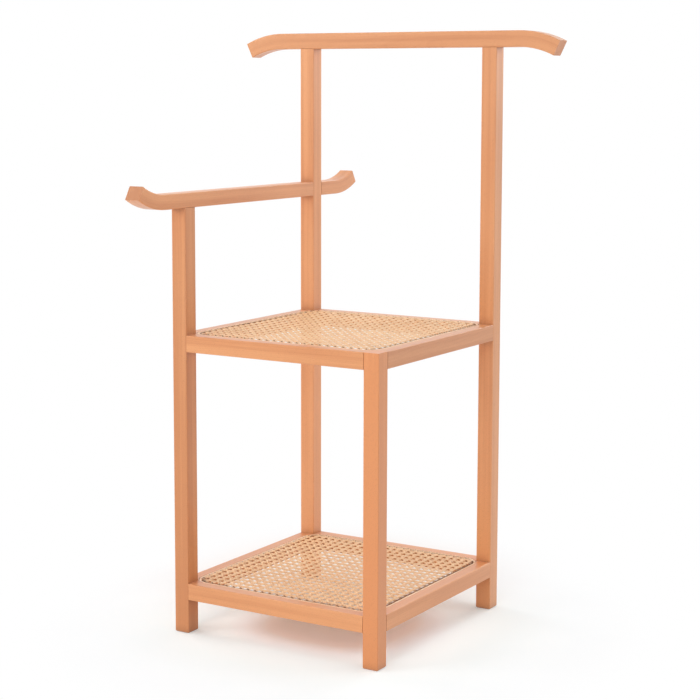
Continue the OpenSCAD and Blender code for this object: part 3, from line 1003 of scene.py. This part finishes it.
# %% Weave the webbing
slant = math.atan2(PITCH_X, PITCH_Y)
slant_step = PITCH_X * PITCH_Y / math.hypot(PITCH_X, PITCH_Y)
SLANTING = {"Pitch across": slant_step, "Pitch along": PITCH_X, "Places": 24, "Strand length": 0.56,
            "Points": 330}
SETS = {
    "warp": (paired_strands, {"Direction": 0.0, "Pitch across": PITCH_X, "Pitch along": PITCH_Y,
                              "Places": 13, "Strand length": 0.42, "Points": 279}),
    "weft": (paired_strands, {"Direction": math.pi / 2, "Pitch across": PITCH_Y, "Pitch along": PITCH_X,
                              "Places": 12, "Strand length": 0.40, "Points": 266}),
    "rising": (slanting_strands, {"Direction": -slant, "Order": -1.0, **SLANTING}),
    "falling": (slanting_strands, {"Direction": slant, "Order": 1.0, **SLANTING}),
}


def panel_inputs(panel):
    """The inputs that all sets of one panel share."""
    return {
        "Shift": SHIFTS[panel],
        "Lip height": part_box(panel + "_front_rail")[1].z + WEBBING_RISE - WEBBING_T,
        "Core half width": half_w - corner, "Core half depth": half_d - corner,
        "Lip corner": corner - lip_inset, "Tuck": TUCK, "Sag": SAGS[panel],
        "Opening half width": half_w - STOCK, "Opening half depth": half_d - STOCK, "Cane": cane_skin,
    }


for level, panel in enumerate(("seat", "shelf")):
    for set_number, (name, (tree, own)) in enumerate(SETS.items()):
        seed = 10 * level + set_number
        piece = grow(f"{panel}_webbing_{name}", tree, {**panel_inputs(panel), **own, "Seed": seed})
        finish_piece(piece, "cane", f"{panel}_cane_{name}")
        piece.data.calc_loop_triangles()
        size = [round(v, 4) for v in piece.dimensions]
        print(piece.name, len(piece.data.loop_triangles), "triangles, size", size)

# %% [markdown]
# ## The reed spline
#
# A strip of reed, soaked and hammered into the groove, wedges the webbing. It is one long piece bent
# round the frame, with its two ends meeting in the middle of the back. So it is made the same way: its
# path is drawn as six points, the tree rounds the four corners and sweeps a section along it. That
# section starts as a ring too. Its upper half stays round, and its lower half is pulled straight down to
# the bottom of the groove.

# %% Bend the reed
REED_INPUTS = (
    ("Path", "Geometry", None), ("Corner radius", "Float", 0.03), ("Corner points", "Int", 16),
    ("Reed width", "Float", 0.003), ("Reed height", "Float", 0.0073), ("Reed", "Material", None),
)
NEARLY_ZERO = 0.001


def reed_section(tree, given):
    """A ring with a round upper half and straight sides below."""
    ring = add(tree, "GeometryNodeCurvePrimitiveCircle", {"Resolution": 20, "Radius": 1.0})
    ring_x, ring_y, _ = here(tree)
    radius = times(tree, given["Reed width"], 0.5)
    below = calc(tree, "LESS_THAN", ring_y, -NEARLY_ZERO)
    aside = calc(tree, "MAXIMUM", calc(tree, "ABSOLUTE", ring_x), NEARLY_ZERO)
    full = calc(tree, "DIVIDE", ring_x, aside)
    wide = plus(tree, times(tree, ring_x, minus(tree, 1.0, below)), times(tree, full, below))
    dome = times(tree, radius, calc(tree, "MAXIMUM", ring_y, 0.0))
    sink = times(tree, minus(tree, given["Reed height"], radius), ring_y, below)
    x, y = times(tree, radius, wide, -1.0), times(tree, plus(tree, dome, sink), -1.0)
    return add(tree, "GeometryNodeSetPosition", {
        "Geometry": ring.outputs["Curve"], "Position": vector(tree, x, y),
    }).outputs[0]


def reed_tree():
    """Rounds the corners of a drawn path and sweeps the reed's section along it."""
    tree, given = new_geometry_tree("bent_reed", REED_INPUTS)
    rounded = add(tree, "GeometryNodeFilletCurve", {
        "Curve": given["Path"], "Count": given["Corner points"], "Radius": given["Corner radius"],
    }, mode="POLY")
    length = add(tree, "GeometryNodeSplineParameter").outputs["Length"]
    marked = store(tree, rounded.outputs[0], "run", length)
    upright = add(tree, "GeometryNodeSetCurveNormal", {"Curve": marked}, mode="Z_UP")
    sweep(tree, upright.outputs[0], reed_section(tree, given), given["Reed"])
    return tree


bent_reed = reed_tree()
print("reed tree", len(bent_reed.nodes), "nodes")

# %% [markdown]
# ### Hammering it in
#
# The reed is as wide as the groove less the cane on one side of it, and stands a little above the frame,
# where the hammer stopped. Its two ends meet behind, where nobody looks, with a hair's breadth between.

# %% Lay the reed in both grooves
REED_RISE, END_GAP = 0.0004, 0.0002
reed_w = GROOVE_W - WEBBING_T
side_x = half_w - GROOVE_INSET - reed_w / 2
side_y = half_d - GROOVE_INSET - reed_w / 2
ROUND_THE_FRAME = ((END_GAP, side_y), (side_x, side_y), (side_x, -side_y), (-side_x, -side_y),
                   (-side_x, side_y), (-END_GAP, side_y))


def drawn_path(name, points):
    """A path of straight stretches through these points."""
    data = bpy.data.curves.new(name, "CURVE")
    data.dimensions = "3D"
    line = data.splines.new("POLY")
    line.points.add(len(points) - 1)
    for dot, place in zip(line.points, points):
        dot.co = (*place, 1)
    return data


for panel in ("seat", "shelf"):
    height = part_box(panel + "_front_rail")[1].z + REED_RISE - reed_w / 2
    path = drawn_path(panel + "_path", [(x, y, height) for x, y in ROUND_THE_FRAME])
    piece = grow(panel + "_reed", bent_reed, {
        "Corner radius": GROOVE_CORNER - reed_w / 2, "Corner points": 16, "Reed width": reed_w,
        "Reed height": GROOVE_DEPTH + REED_RISE, "Reed": reed_skin,
    }, path)
    finish_piece(piece, "reed", panel + "_spline")
    print(piece.name, "box", [[round(v, 4) for v in c] for c in (piece.bound_box[0], piece.bound_box[6])])
